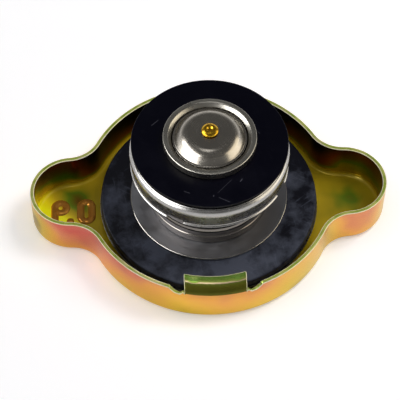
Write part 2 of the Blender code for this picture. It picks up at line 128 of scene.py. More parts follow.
def nearSpot(tree, place, spot, reach):
    # 1 at a spot given in millimetres, fading to 0 at reach
    away = vectorStep(tree, "DISTANCE", place, [share * mm for share in spot])
    return spread(tree, away, 0, reach * mm, 1, 0)


def finishPiece(shape, name, coats, body, replaced, sharpAngle=38):
    mesh = bpy.data.meshes.new(name)
    # only the open edges of a sheet are rounded by its wall
    weight = shape.edges.layers.float.new("bevel_weight_edge")
    for edge in shape.edges:
        edge[weight] = float(edge.is_boundary)
    shape.to_mesh(mesh)
    shape.free()
    for coat in coats:
        mesh.materials.append(coat)
    mesh.shade_smooth()
    mesh.set_sharp_from_angle(angle=math.radians(sharpAngle))
    piece = bpy.data.objects.new(name, mesh)
    bpy.context.scene.collection.objects.link(piece)
    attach(piece, body)
    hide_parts(*replaced)
    return piece


roundSteps = {"profile": 6, "tabCorner": 4, "sheetEdge": 2}


def addWall(piece, thickness, edgeRound=0.0):
    wall = piece.modifiers.new("Wall", "SOLIDIFY")
    wall.thickness = thickness * mm
    wall.offset = -1
    wall.use_even_offset = True
    if edgeRound:
        softened = piece.modifiers.new("Edges", "BEVEL")
        softened.width = edgeRound * mm
        softened.segments = roundSteps["sheetEdge"]
        softened.limit_method = "WEIGHT"
        softened.use_clamp_overlap = False
    return wall


def roundCorners(shape, verts, radius, segments):
    bmesh.ops.bevel(
        shape, geom=verts, offset=radius * mm, segments=segments, profile=0.5, affect="VERTICES", material=-1
    )


flatFrom, flatEnd = 0.8, 0.1  # millimetres: longer stretches get a close point at both ends


def profileOf(corners, closed):
    # corners: radius, height and how far its round starts before the corner, in millimetres
    shape = bmesh.new()
    verts = [shape.verts.new((radius * mm, 0, height * mm)) for radius, height, bend in corners]
    for first, second in zip(verts, verts[1:] + verts[:1] if closed else verts[1:]):
        shape.edges.new((first, second))
    for vert, (radius, height, bend) in zip(verts, corners):
        if bend:
            roundCorners(shape, [vert], bend, roundSteps["profile"])
    # the close points keep a long flat flat beside its rounds
    for edge in [edge for edge in shape.edges if edge.calc_length() > flatFrom * mm]:
        for vert in list(edge.verts):
            bmesh.utils.edge_split(edge, vert, flatEnd * mm / edge.calc_length())
    return shape


def turnedSolid(corners, closed, steps=160):
    shape = profileOf(corners, closed)
    bmesh.ops.spin(
        shape,
        geom=shape.verts[:] + shape.edges[:],
        cent=(0, 0, 0),
        axis=(0, 0, 1),
        angle=2 * math.pi,
        steps=steps,
        use_merge=True,
    )
    bmesh.ops.remove_doubles(shape, verts=shape.verts, dist=1e-7)
    bmesh.ops.recalc_face_normals(shape, faces=shape.faces)
    return shape


def turnedSkin(corners, steps=160):
    # the sheet's outer side lies to the left of the line's first stretch
    shape = turnedSolid(corners, False, steps)
    first, second = [Vector((corner[0] * mm, 0, corner[1] * mm)) for corner in corners[:2]]
    left = Vector((first.z - second.z, 0, second.x - first.x))
    middle = (first + second) / 2
    sample = min(shape.faces, key=lambda face: (face.calc_center_median() - middle).length)
    sample.normal_update()
    if sample.normal.dot(left) < 0:
        bmesh.ops.reverse_faces(shape, faces=shape.faces)
    return shape


# Pressed shell: one sheet with two hollow ears, two bent locking tabs and a figure pressed into one ear
shellSizes = {
    "bodyRadius": 31.75,
    "earRadius": 10.4,
    "earSpan": 90.0,
    "height": 11.5,
    "sheet": 1.0,
    "corner": 1.9,
    "neckBlend": 8.2,
    "recessRadius": 15.0,
    "recessDepth": 2.35,
    "recessRun": 2.0,
    "recessRound": 0.7,
    "boreRadius": 3.25,
    "tabWidth": 15.3,
    "tabReach": 4.9,
    "tabBend": 3.9,
    "tabCorner": 0.9,
    "notchWidth": 3.6,
    "notchDepth": 2.0,
    "notchFloor": (0.55, 0.0, -0.2, 0.0, 0.1, 0.5, 1.1, 1.65),  # torn floor, from the tab out to the rim
    "rimRound": 0.16,
}
chromateLooks = {
    # tints run from the film's thin to its thick end; rise turns a height in millimetres into that
    # thickness, which drifts in patches; metal is how much of the zinc shines through
    # some tints and spots below hold painted light and shade, as marked where they stand
    "outside": {
        "tints": [
            (0.0, "b09420"), (0.15, "f0cc34"), (0.32, "f6c44a"), (0.48, "f4b058"),
            (0.62, "e69468"), (0.78, "d86a5c"), (1.0, "c88a70"),
        ],
        "rise": (0, 11.5, 0.2, 0.6),
        "patch": 14,
        "drift": 0.12,
        "metal": 1.0,
        "roughness": (0.22, 0.25),
    },
    "inside": {
        # the tints darken up the wall: partly the film's own tint, partly painted shade
        "tints": [
            (0.0, "fffa18"), (0.12, "f4e01c"), (0.3, "c8aa20"), (0.45, "a8941c"),
            (0.54, "647c18"), (0.66, "6e4e14"), (0.8, "682a12"), (1.0, "24100a"),
        ],
        "rise": (1.2, 11.5, 0.3, 0.78),
        "patch": 9,
        "drift": 0.09,
        "metal": (0.35, 1.0),  # on the ears' floors, and on the wall
        "roughness": (0.15, 0.24),
    },
    "edge": {
        "tints": [(0.0, "b4c04c"), (0.4, "d6da74"), (0.6, "a6bc48"), (1.0, "e8dc98")],
        "rise": (0, 11.5, 0.3, 0.6),
        "patch": 5,
        "drift": 0.3,
        "metal": 0.45,
        "roughness": (0.18, 0.28),
    },
    # pale coat on the rounded rim edges: a painted highlight line along them
    "lightened": {
        "tints": [(0.0, "f6efb0"), (1.0, "f4ead0")],
        "rise": (0, 11.5, 0.3, 0.6),
        "patch": 3,
        "drift": 0.5,
        "metal": 0.0,
        "roughness": (0.25, 0.3),
    },
    "tab": {
        # the tints along the bend are painted reflections: darker low on the bend, a pale painted highlight
        # line along its crest at 0.49, lighter on the flat top
        "tints": [
            (0.0, "5a581a"), (0.3, "7c7a24"), (0.44, "8a9434"), (0.49, "f4d4b4"),
            (0.54, "a8b450"), (0.75, "98c854"), (1.0, "d4f480"),
        ],
        "rise": (26.8, 31.3, 0.86, 0.05),  # over the radius here, from the tab's tip to its bend
        "patch": 3,
        "drift": 0.02,
        "metal": 0.75,
        "roughness": (0.2, 0.26),
    },
    "figure": {
        "tints": [(0.0, "e0a040"), (0.5, "d89038"), (1.0, "d8803c")],
        "rise": (1.2, 1.7, 0.1, 0.7),
        "patch": 3,
        "drift": 0.2,
        "metal": 0.7,
        "roughness": (0.24, 0.26),
    },
}
chromateSpots = {
    # where a film shifts to other tints: spot and reach in millimetres, and the shift
    # some of these spots are painted light and shade, as marked
    "outside": [
        ((-33, -12, 9), 17, 0.32),
        ((37, -10, 3), 8, 0.12),
        ((31, -15, 8), 6, -0.3),
        ((-45, -5, 7), 9, -0.6),
        ((44.5, -4, 8), 7, -0.35),
        ((24, -23, 8), 17, -0.28),
    ],
    "inside": [
        # darker, greener floor in the right ear: partly the film's green patch, partly painted shade
        ((36.5, 2, 1), 9, 0.3),
        # painted light: bright yellow on the floor at the left ear's end, where light gathers off the curved
        # wall
        ((-41, -2, 1), 10, -0.65),
        # painted shade: darker floor in the middle of the left ear
        ((-33.5, 3.5, 1), 8, 0.26),
        ((-36.5, 3, 1), 6, 0.3),
    ],
    "edge": [((25, -21, 12), 14, -0.22)],
    "lightened": [],
    "tab": [((-5.2, -27.2, 11.4), 1.7, 0.4), ((5.4, -27.4, 11.4), 1.4, 0.15)],
    "figure": [],
}
filmGrain = 0.5  # millimetres, of the fine change in shine
paintedWallShade = {
    # painted shade: the film is shifted darker on the inside of the wall round the valve, beside the ears;
    # millimetres
    "radii": (31.5, 36),
    "shift": (0.35, 0.06),
    "heights": (1.6, 4),
}
earFloor = {
    # the ears' pressed floors are duller than the drawn wall, most of all at the left ear's end
    "heights": (1.4, 2.6),
    "dullSpot": (-42, -3, 1),
    "dullReach": 12,
}


def chromateFilm(name):
    # yellow chromate film on zinc plate: a soft metal sheen whose tint drifts with the film's thickness,
    # with painted light and shade added in places
    look = chromateLooks[name]
    material, tree, shader, place = newMaterial("yellowChromate_" + name)
    height = addNode(tree, "SeparateXYZ", inputs={"Vector": place}).outputs["Z"]
    radius = fromAxis(tree, place)
    low, high, start, end = look["rise"]
    film = spread(tree, radius if name == "tab" else height, low * mm, high * mm, start, end)
    patches = addNoise(tree, place, look["patch"])
    film = compute(tree, "ADD", film, spread(tree, patches, *noiseSpan, -look["drift"], look["drift"]))
    for spot, reach, shift in chromateSpots[name]:
        near = nearSpot(tree, place, spot, reach)
        film = compute(tree, "ADD", film, compute(tree, "MULTIPLY", near, shift))
    if name == "inside":
        # painted shade on the wall round the valve
        near, far = paintedWallShade["radii"]
        foot, clear = paintedWallShade["heights"]
        nearBody = spread(tree, radius, near * mm, far * mm, *paintedWallShade["shift"])
        wallShare = spread(tree, height, foot * mm, clear * mm, 0, 1)
        film = compute(tree, "ADD", film, compute(tree, "MULTIPLY", nearBody, wallShare))
        low, high = earFloor["heights"]
        metal = spread(tree, height, low * mm, high * mm, *look["metal"])
        dulled = nearSpot(tree, place, earFloor["dullSpot"], earFloor["dullReach"])
        tree.links.new(compute(tree, "SUBTRACT", metal, dulled), shader.inputs["Metallic"])
    else:
        shader.inputs["Metallic"].default_value = look["metal"]
    colour = addRamp(tree, film, look["tints"])
    grain = addNoise(tree, place, filmGrain, 3)
    tree.links.new(colour, shader.inputs["Base Color"])
    tree.links.new(spread(tree, grain, *noiseSpan, *look["roughness"]), shader.inputs["Roughness"])
    return material


satinLook = {
    "lines": 0.35,  # millimetres, a little coarser than real turning lines, so that they show
    "cloud": 3,
    "linesShare": 0.35,
    "span": (0.35, 0.65),
    "roughness": (0.82, 1.25),  # shares of the piece's own
}


def satinStainless(name, colour, roughness):
    # pressed or spun stainless: satin, with faint turning lines round the axis
    look = satinLook
    material, tree, shader, place = newMaterial(name)
    height = addNode(tree, "SeparateXYZ", inputs={"Vector": place}).outputs["Z"]
    section = addNode(tree, "CombineXYZ", inputs={"X": fromAxis(tree, place), "Y": height}).outputs["Vector"]
    lines = compute(tree, "MULTIPLY", addNoise(tree, section, look["lines"], 1), look["linesShare"])
    cloud = compute(tree, "MULTIPLY", addNoise(tree, place, look["cloud"], 3), 1 - look["linesShare"])
    smooth, rough = [roughness * share for share in look["roughness"]]
    shine = spread(tree, compute(tree, "ADD", lines, cloud), *look["span"], smooth, rough)
    tree.links.new(shine, shader.inputs["Roughness"])
    shader.inputs["Base Color"].default_value = linearColour(colour)
    shader.inputs["Metallic"].default_value = 1.0
    return material


brassLook = {
    "cloud": 0.7,
    "tints": [(0.3, "c08a1c"), (0.7, "f6c83c")],
    "roughness": 0.25,
}
platedLook = {
    "cloud": 2,
    "roughness": (0.8, 1.3),
}


def turnedBrass():
    # machined brass of the vacuum valve's stem, bright with darker stains
    material, tree, shader, place = newMaterial("turnedBrass")
    cloud = addNoise(tree, place, brassLook["cloud"], 3)
    tree.links.new(addRamp(tree, cloud, brassLook["tints"]), shader.inputs["Base Color"])
    shader.inputs["Metallic"].default_value = 1.0
    shader.inputs["Roughness"].default_value = brassLook["roughness"]
    return material


def platedSteel(name, colour, roughness):
    # plain or zinc plated steel: a dull, slightly cloudy shine
    material, tree, shader, place = newMaterial(name)
    cloud = addNoise(tree, place, platedLook["cloud"], 3)
    shine = spread(tree, cloud, *noiseSpan, *[roughness * share for share in platedLook["roughness"]])
    tree.links.new(shine, shader.inputs["Roughness"])
    shader.inputs["Base Color"].default_value = linearColour(colour)
    shader.inputs["Metallic"].default_value = 1.0
    return material


scuffLook = {
    # short straight scuffs in three directions, broken up by patches; sizes in millimetres
    "turns": (0.5, 1.4, 2.5),
    "length": 5,
    "narrower": 14,
    "lineSpan": (0.6, 0.78),
    "patch": 8,
    "patchSpan": (0.5, 0.68),
}
# dust settled more on the near side than by the back wall: its Y in millimetres, and the shift
dustShift = ((-28, 8), (0.1, -0.1))
dustSpan = (0.42, 0.62)
fibreColour = "60606a"
rubberLooks = {
    "neckGasket": {
        "dark": "0b0c15",
        "light": "464a56",
        "cloud": 9,
        "roughness": 0.46,
        "shine": 0.26,
        "scuffs": 0.5,
        "scuffColour": "5a6070",
        "fibres": [],
    },
    "valveSeal": {
        "dark": "00000a",
        "light": "04040f",
        "cloud": 9,
        "roughness": 0.35,
        "shine": 0.17,
        "scuffs": 0.12,
        "scuffColour": "3a3a4a",
        # lint on the face: two ends and half a width in millimetres
        "fibres": [
            ((0.0, -16.2), (0.05, -15.95), 0.07),
            ((1.3, -16.6), (3.7, -18.0), 0.035),
            ((-6.9, -14.4), (-5.6, -15.0), 0.035),
            ((6.6, -12.2), (7.1, -11.5), 0.06),
            ((1.0, -15.3), (4.6, -11.6), 0.02),
            ((-13.9, 5.5), (-12.2, 7.1), 0.025),
            ((10.2, 4.1), (12.3, 1.9), 0.02),
        ],
    },
    "vacuumSeal": {
        "dark": "0c0c10",
        "light": "1a1a20",
        "cloud": 4,
        "roughness": 0.45,
        "shine": 0.2,
        "scuffs": 0.0,
        "scuffColour": "3a3a4a",
        "fibres": [],
    },
}


def fibreMask(tree, place, start, end, half):
    # 1 within half a width of the line between two points of a level face
    first, second = Vector((*start, 0)) * mm, Vector((*end, 0)) * mm
    along = second - first
    away = vectorStep(tree, "SUBTRACT", vectorStep(tree, "MULTIPLY", place, (1, 1, 0)), first)
    run = vectorStep(tree, "DOT_PRODUCT", away, along / along.length_squared)
    share = addNode(tree, "Clamp", inputs={"Value": run}).outputs["Result"]
    gap = vectorStep(tree, "DISTANCE", away, vectorStep(tree, "MULTIPLY", along, share))
    return spread(tree, gap, 0, half * 2 * mm, 1, 0)


def scuffMask(tree, place, turn):
    look = scuffLook
    turned = addNode(tree, "Mapping", inputs={"Vector": place, "Rotation": (0, 0, turn)}).outputs["Vector"]
    drawn = addNode(tree, "Mapping", inputs={"Vector": turned, "Scale": (1, look["narrower"], 1)})
    lines = spread(tree, addNoise(tree, drawn.outputs["Vector"], look["length"]), *look["lineSpan"], 0, 1)
    moved = addNode(tree, "Mapping", inputs={"Vector": place, "Location": (turn, 0, 0)})
    patches = addNoise(tree, moved.outputs["Vector"], look["patch"])
    return compute(tree, "MULTIPLY", lines, spread(tree, patches, *look["patchSpan"], 0, 1))


def mouldedRubber(name):
    # moulded black rubber: a dull sheen with dust, scuffs and lint
    look = rubberLooks[name]
    material, tree, shader, place = newMaterial(name + "Rubber")
    cloud = addNoise(tree, place, look["cloud"], 6, 0.65)
    depth = addNode(tree, "SeparateXYZ", inputs={"Vector": place}).outputs["Y"]
    (near, far), shifts = dustShift
    cloud = compute(tree, "ADD", cloud, spread(tree, depth, near * mm, far * mm, *shifts))
    colour = mixColour(tree, spread(tree, cloud, *dustSpan, 0, 1), look["dark"], look["light"])
    for turn in scuffLook["turns"]:
        lightened = compute(tree, "MULTIPLY", scuffMask(tree, place, turn), look["scuffs"])
        colour = mixColour(tree, lightened, colour, look["scuffColour"])
    for start, end, half in look["fibres"]:
        colour = mixColour(tree, fibreMask(tree, place, start, end, half), colour, fibreColour)
    tree.links.new(colour, shader.inputs["Base Color"])
    shader.inputs["Roughness"].default_value = look["roughness"]
    shader.inputs["Specular IOR Level"].default_value = look["shine"]
    return material


finishes = {name: chromateFilm(name) for name in chromateLooks}
finishes.update(
    {
        "plate": satinStainless("satinPlateStainless", "adaeb4", 0.42),
        "bell": satinStainless("drawnBellStainless", "8e8882", 0.16),
        # the plate's cut edge is lighter than its face: partly the bare sheared steel, partly a painted
        # highlight line
        "cut edge": satinStainless("shearedEdgeStainless", "d0ccc4", 0.16),
        "cup": satinStainless("drawnCupStainless", "bab8b5", 0.25),
        "retainer": satinStainless("rolledRetainerStainless", "c4c0b6", 0.27),
        "disc": satinStainless("dishedDiscStainless", "b4aea4", 0.23),
        "brass": turnedBrass(),
        "gasket": mouldedRubber("neckGasket"),
        "seal": mouldedRubber("valveSeal"),
        "small seal": mouldedRubber("vacuumSeal"),
        "spring": platedSteel("springWireSteel", "9a978f", 0.35),
        "thin disc": platedSteel("springDiscSteel", "98958c", 0.3),
        "rivet": platedSteel("rivetZincSteel", "a8a59c", 0.35),
    }
)
print("finishes ready")

# an outer coat is followed by its coats on the inner side and on the cut edge; the figure has no edge
shellCoats = ["outside", "inside", "edge", "outside", "figure", "tab", "inside", "edge", "lightened"]
figureCoat, tabCoat = 3, 5
shellSteps = {"tab": 10, "tabCorner": 3, "body": 26, "blend": 18, "ear": 26, "corner": 8, "tabBend": 7}
pressedFigure = {
    # a plain 0.9, pressed up into the left ear's floor; millimetres
    "floorX": -22.5,  # the ear's floor lies beyond this and the next radius
    "floorRadius": 21.2,
    "height": 0.42,
    "colourFrom": 0.05,
    "strokeHalf": 0.5,
    "flatHalf": 0.12,
    "grid": 0.13,
    "xRange": (-41.6, -28.2),
    "yRange": (-4.4, 5.6),
    "zeroAt": (-31.4, 0.7),
    "zeroHalf": (1.45, 2.95),
    "nineAt": (-38.0, 2.1),
    "nineRadius": 1.5,
    "nineFoot": -1.4,
    "dotAt": (-35.5, -2.1),
}


def addArc(shape, columns, centre, degrees, steps, side, kind):
    for _ in range(steps):
        made = bmesh.ops.spin(
            shape,
            geom=[columns[-1]["vert"]],
            cent=(centre[0], centre[1], 0),
            axis=(0, 0, 1),
            angle=math.radians(degrees) / steps,
            steps=1,
        )
        columns.append({"vert": made["geom_last"][0], "centre": centre, "side": side, "kind": kind})


def outlineColumns(shape):
    # a quarter of the outline, from the tab's middle at +Y to the ear's tip at +X
    s, steps = shellSizes, shellSteps
    body, ear, blend = s["bodyRadius"] * mm, s["earRadius"] * mm, s["neckBlend"] * mm
    earAt = s["earSpan"] / 2 * mm - ear
    along = ((body + blend) ** 2 - (ear + blend) ** 2 + earAt**2) / (2 * earAt)
    across = math.sqrt((body + blend) ** 2 - along**2)
    half = s["tabWidth"] / 2 * mm
    tabTurn = math.degrees(math.asin(half / body))
    cornerTurn = math.degrees(math.asin((half - s["tabCorner"] * mm) / body))
    notchTurn = math.degrees(math.asin((half + s["notchWidth"] * mm) / body))
    bodyTurn = 90 - math.degrees(math.atan2(across, along))
    earTurn = math.degrees(math.atan2(across, along - earAt))
    blendTurn = earTurn - 90 + bodyTurn
    columns = [{"vert": shape.verts.new((0, body, 0)), "centre": (0, 0), "side": 1, "kind": "tab"}]
    addArc(shape, columns, (0, 0), -cornerTurn, steps["tab"], 1, "tab")
    addArc(shape, columns, (0, 0), cornerTurn - tabTurn, steps["tabCorner"], 1, "tab")
    addArc(shape, columns, (0, 0), tabTurn - notchTurn, len(s["notchFloor"]), 1, "notch")
    columns[-1]["kind"] = "body"
    addArc(shape, columns, (0, 0), notchTurn - bodyTurn, steps["body"], 1, "body")
    addArc(shape, columns, (along, across), blendTurn, steps["blend"], -1, "blend")
    addArc(shape, columns, (earAt, 0), -earTurn, steps["ear"], 1, "ear")
    return columns


def insetPoint(column, inset):
    x, y = column["point"]
    if column["kind"] == "tab":
        reach = math.hypot(x, y) - inset
        return x, math.sqrt(reach**2 - x**2)
    centreX, centreY = column["centre"]
    away = Vector((x - centreX, y - centreY)).normalized() * column["side"] * inset
    return x - away.x, y - away.y


def circlePoint(column, radius):
    return Vector(column["point"]).normalized() * radius


def addRow(shape, row, columns, heightOf, pointOf):
    # extrudes a row of edges and places each new vertex by its column
    columnOf = shape.verts.layers.int["column"]
    made = bmesh.ops.extrude_edge_only(shape, edges=row)["geom"]
    for vert in made:
        if isinstance(vert, bmesh.types.BMVert):
            column = columns[vert[columnOf]]
            x, y = pointOf(column)
            vert.co = (x, y, heightOf(column))
    edges = [edge for edge in made if isinstance(edge, bmesh.types.BMEdge)]
    return [edge for edge in edges if edge.verts[0][columnOf] != edge.verts[1][columnOf]]


def addFloor(shape, row, columns):
    # the corner below the skirt, the flat face, and the recess for the rivet's head
    s = shellSizes
    corner, steps = s["corner"] * mm, shellSteps["corner"]
    for step in range(1, steps + 1):
        turn = math.pi / 2 * step / steps
        inset, height = corner * (1 - math.cos(turn)), corner * (1 - math.sin(turn))
        row = addRow(shape, row, columns, lambda column: height, lambda column: insetPoint(column, inset))
    inset = corner * 1.2
    row = addRow(shape, row, columns, lambda column: 0, lambda column: insetPoint(column, inset))
    outer, inner = s["recessRadius"] * mm, (s["recessRadius"] - s["recessRun"]) * mm
    depth, bend = s["recessDepth"] * mm, s["recessRound"] * mm
    slope = Vector((inner - outer, depth)).normalized()
    # points round a bend of the recess, as steps from its corner: along the flat, then down the slope
    bendSteps = [Vector((share, 0)) * bend for share in (1.6, 1)] + [Vector((0.35, 0.1)) * bend]
    bendSteps += [slope * (share * bend) for share in (0.4, 1)]
    edge, floor = Vector((outer, 0)), Vector((inner, depth))
    stations = [(outer * 1.4, 0), *(edge + step for step in bendSteps)]
    stations += [*(floor - step for step in reversed(bendSteps)), (s["boreRadius"] * mm, depth)]
    for radius, height in stations:
        row = addRow(shape, row, columns, lambda column: height, lambda column: circlePoint(column, radius))


def addSkirtAndTab(shape, row, columns):
    # the skirt, torn low at the notches, and the tab that bends inwards between them
    s = shellSizes
    height, bend = s["height"] * mm, s["tabBend"] * mm
    notchFloor = height - s["notchDepth"] * mm
    columnOf = shape.verts.layers.int["column"]
    tabEdge = max(at for at, column in enumerate(columns) if column["kind"] == "tab")
    notchEnd = min(at for at, column in enumerate(columns) if column["kind"] == "body")

    def tuckAt(column, level):
        # the tab's bend fades out along the notch
        turn = math.asin(min(1, max(0, level - (height - bend)) / bend))
        share = min(1, max(0, (notchEnd - column["number"]) / (notchEnd - tabEdge)))
        return bend * (1 - math.cos(turn)) * share

    def tornAt(column, level):
        torn = level == notchFloor and tabEdge < column["number"] <= notchEnd
        return level + (s["notchFloor"][column["number"] - tabEdge - 1] * mm if torn else 0)

    def rimAt(column, level):
        # the rim's end rises from the top of the torn slope
        share = 1 - s["notchFloor"][-1] / s["notchDepth"] if column["number"] == notchEnd else 1
        return height - (height - level) * share

    levels = [height - bend + (notchFloor - height + bend) * share for share in (0, 0.25, 0.5, 0.75)]
    for level in levels + [notchFloor]:
        row = addRow(
            shape,
            row,
            columns,
            lambda column: tornAt(column, level),
            lambda column: insetPoint(column, tuckAt(column, level)),
        )
    tabRow = [edge for edge in row if max(vert[columnOf] for vert in edge.verts) <= tabEdge]
    rimRow = [edge for edge in row if min(vert[columnOf] for vert in edge.verts) >= notchEnd]
    # the last row but one lies close below the rim, so that its round stays tight
    for level in (notchFloor + 0.8 * mm, height - 0.5 * mm, height):
        rimRow = addRow(
            shape, rimRow, columns, lambda column: rimAt(column, level), lambda column: insetPoint(column, 0)
        )
    tabFaces = set(shape.faces)
    start, steps = math.asin((notchFloor - height + bend) / bend), shellSteps["tabBend"]
    for step in range(1, steps + 1):
        turn = start + (math.pi / 2 - start) * step / steps
        inset, level = bend * (1 - math.cos(turn)), height - bend * (1 - math.sin(turn))
        tabRow = addRow(
            shape, tabRow, columns, lambda column: level, lambda column: insetPoint(column, inset)
        )
    for inset in ((s["tabReach"] - s["tabCorner"]) * mm, s["tabReach"] * mm):
        tabRow = addRow(
            shape, tabRow, columns, lambda column: height, lambda column: insetPoint(column, inset)
        )
    tips = [vert for edge in tabRow for vert in edge.verts if vert[columnOf] == tabEdge]
    roundCorners(shape, tips, s["tabCorner"], roundSteps["tabCorner"])
    for face in set(shape.faces) - tabFaces:
        face.material_index = tabCoat


def strokeDistance(x, y):
    # how far a point of the ear's floor is from the middle of the nearest stroke
    f = pressedFigure
    zeroX, zeroY = abs(x - f["zeroAt"][0]), abs(y - f["zeroAt"][1])
    straight = f["zeroHalf"][1] - f["zeroHalf"][0]
    zero = abs(math.hypot(zeroX, max(0, zeroY - straight)) - f["zeroHalf"][0])
    nineX, nineY = x - f["nineAt"][0], y - f["nineAt"][1]
    loop = abs(math.hypot(nineX, nineY) - f["nineRadius"])
    stem = math.hypot(nineX + f["nineRadius"], nineY - min(0, max(f["nineFoot"] - f["nineAt"][1], nineY)))
    footY = y - f["nineFoot"]
    foot = abs(math.hypot(nineX, footY) - f["nineRadius"]) if nineX <= 0 and footY <= 0 else loop
    toe = math.hypot(nineX, footY + f["nineRadius"])
    dot = math.hypot(x - f["dotAt"][0], y - f["dotAt"][1])
    return min(zero, loop, stem, foot, toe, dot)


def pressFigure(shape):
    # cuts a fine grid into one ear's floor and lifts it along the strokes
    f = pressedFigure
    edgeRun = f["strokeHalf"] - f["flatHalf"]
    flat = [
        face
        for face in shape.faces
        if max(abs(vert.co.z) for vert in face.verts) < 1e-7
        and face.calc_center_median().x < f["floorX"] * mm
        and max(vert.co.xy.length for vert in face.verts) > f["floorRadius"] * mm
    ]
    region = bmesh.ops.dissolve_faces(shape, faces=flat)["region"]
    cuts = []
    for axis, (low, high) in ((0, f["xRange"]), (1, f["yRange"])):
        count = round((high - low) / f["grid"])
        for step in range(count + 1):
            point, normal = [0, 0, 0], [0, 0, 0]
            point[axis], normal[axis] = (low + (high - low) * step / count) * mm, 1
            cuts.append((point, normal))
    for point, normal in cuts:
        # dictionaries keep their order, so that every run cuts alike
        corners = dict.fromkeys(vert for face in region for vert in face.verts)
        edges = dict.fromkeys(edge for face in region for edge in face.edges)
        made = bmesh.ops.bisect_plane(
            shape, geom=[*region, *edges, *corners], dist=1e-7, plane_co=point, plane_no=normal
        )
        region = [item for item in made["geom"] if isinstance(item, bmesh.types.BMFace)]
    for vert in {vert for face in region for vert in face.verts}:
        away = strokeDistance(vert.co.x / mm, vert.co.y / mm) - f["flatHalf"]
        share = 1 - min(1, max(0, away / edgeRun))
        vert.co.z += f["height"] * mm * share * share * (3 - 2 * share)
    for face in region:
        if face.calc_center_median().z > f["colourFrom"] * mm:
            face.material_index = figureCoat


def buildShell():
    shape = bmesh.new()
    columns = outlineColumns(shape)
    columnOf = shape.verts.layers.int.new("column")
    shape.verts.ensure_lookup_table()
    for number, (column, vert) in enumerate(zip(columns, shape.verts)):
        column["point"] = tuple(vert.co.xy)
        column["number"] = number
        vert[columnOf] = number
        vert.co.z = shellSizes["corner"] * mm
    row = shape.edges[:]
    addFloor(shape, row, columns)
    addSkirtAndTab(shape, row, columns)
    for axis in "XY":
        bmesh.ops.mirror(shape, geom=[*shape.verts, *shape.edges, *shape.faces], merge_dist=1e-6, axis=axis)
    bmesh.ops.remove_doubles(shape, verts=shape.verts, dist=1e-6)
    bmesh.ops.recalc_face_normals(shape, faces=shape.faces)
    pressFigure(shape)
    shape.normal_update()
    if sum(face.normal.z * face.calc_area() for face in shape.faces) > 0:
        bmesh.ops.reverse_faces(shape, faces=shape.faces)
    coats = [finishes[coat] for coat in shellCoats]
    shell = finishPiece(shape, "pressed_shell", coats, "cover", ["shell"])
    wall = addWall(shell, shellSizes["sheet"], shellSizes["rimRound"])
    wall.material_offset = 1
    wall.material_offset_rim = 2
    # the rounded rim edges take the pale coat, a painted highlight line
    shell.modifiers["Edges"].material = shellCoats.index("lightened")


buildShell()
print("shell ready")


def dress(shape, name, coats, body, slot, node, sheet=0.0, edgeRound=0.0):
    piece = finishPiece(shape, name, [finishes[coat] for coat in coats.split(", ")], body, [node])
    if sheet:
        addWall(piece, sheet, edgeRound)


# Clamped stack: thin disc, gasket, plate and bell
ringSizes = {
    "bore": 3.25,
    "disc": {"radius": 27.65, "top": 4.65, "bottom": 4.35, "topRound": 0.1, "bottomRound": 0.1},
    "gasket": {"radius": 27.35, "top": 7.3, "bottom": 4.9, "topRound": 0.55, "bottomRound": 0.2},
    "plate": {"radius": 19.85, "top": 8.15, "bottom": 7.55, "topRound": 0.2, "bottomRound": 0.1},
    # the brighter edge is partly a painted highlight line round the plate
    "plateBrightFrom": 19.66,  # its cut edge is brighter than its face
}


def flatRing(name):
    ring, bore = ringSizes[name], ringSizes["bore"]
    return turnedSolid(
        [
            (bore, ring["top"], 0),
            (ring["radius"], ring["top"], ring["topRound"]),
            (ring["radius"], ring["bottom"], ring["bottomRound"]),
            (bore, ring["bottom"], 0),
        ],
        True,
    )


bellSizes = {
    "wall": 15.05,
    "sheet": 0.6,
    "flange": 17.65,
    "flangeUnder": 22.2,
    "flangeRound": 0.9,
    "bead": 15.5,
    "beadTop": 14.2,
    "beadBelly": 13.4,
    "beadWaist": 15.4,
    "beadBase": 11.5,
    "beadBottom": 11.2,
    "groove": 14.9,
    "grooveBottom": 10.9,
    "footTop": 10.65,
    "foot": 8.4,
    "footRadius": 15.2,
    "footRound": 0.25,
}


def bellSkin():
    s = bellSizes
    return turnedSkin(
        [
            (s["flange"], s["flangeUnder"], 0),
            (s["wall"], s["flangeUnder"], s["flangeRound"]),
            (s["wall"], s["beadTop"], 0.2),
            (s["bead"], s["beadBelly"], 0.3),
            (s["beadWaist"], s["beadBase"], 0.2),
            (s["groove"], s["beadBottom"], 0.1),
            (s["groove"], s["grooveBottom"], 0.1),
            (s["footRadius"], s["footTop"], 0.15),
            (s["footRadius"], s["foot"], s["footRound"]),
            (ringSizes["bore"], s["foot"], 0),
        ]
    )


dress(flatRing("disc"), "thin_spring_disc", "thin disc", "stack", "spring_steel", "spring_disc")
dress(flatRing("gasket"), "neck_gasket_ring", "gasket", "stack", "gasket_rubber", "neck_gasket")
plateShape = flatRing("plate")
for face in plateShape.faces:
    face.material_index = int(face.calc_center_median().xy.length > ringSizes["plateBrightFrom"] * mm)
dress(plateShape, "clamp_plate", "plate, cut edge", "stack", "stainless", "backing_plate")
dress(bellSkin(), "drawn_bell", "bell", "stack", "stainless", "bell", bellSizes["sheet"])
print("stack ready")

# Pressure valve: a cup whose edge is folded round the rubber and whose lip has four bent claws
cupSizes = {
    "hole": 3.4,
    "floor": 27.7,
    "sheet": 0.4,
    "hemInner": 18.5,
    "hemTop": 27.9,
    "hemEdge": 18.6,
    "hemRadius": 19.6,
    "hemBelly": 26.9,
    "hemBottom": 25.65,
    "skirt": 19.55,
    "skirtTop": 25.5,
    "skirtFoot": 19.24,  # where the lip starts to turn out
    "lip": 19.52,
    "lipTurn": 22.0,
    "lipEdge": 21.74,
    "lipBottom": 21.6,
    "clawTip": 16.65,
    "clawBend": 0.55,
    "clawBendShare": 0.6,  # of the tongue's length, before it runs straight in
    "clawRoot": 22.9,
    "clawRootRadius": 19.32,
    "clawAngles": (61.5, 151.5, 241.5, 331.5),
    "clawHalf": 5.8,  # degrees
    "slit": 0.8,
    "steps": 360,
}


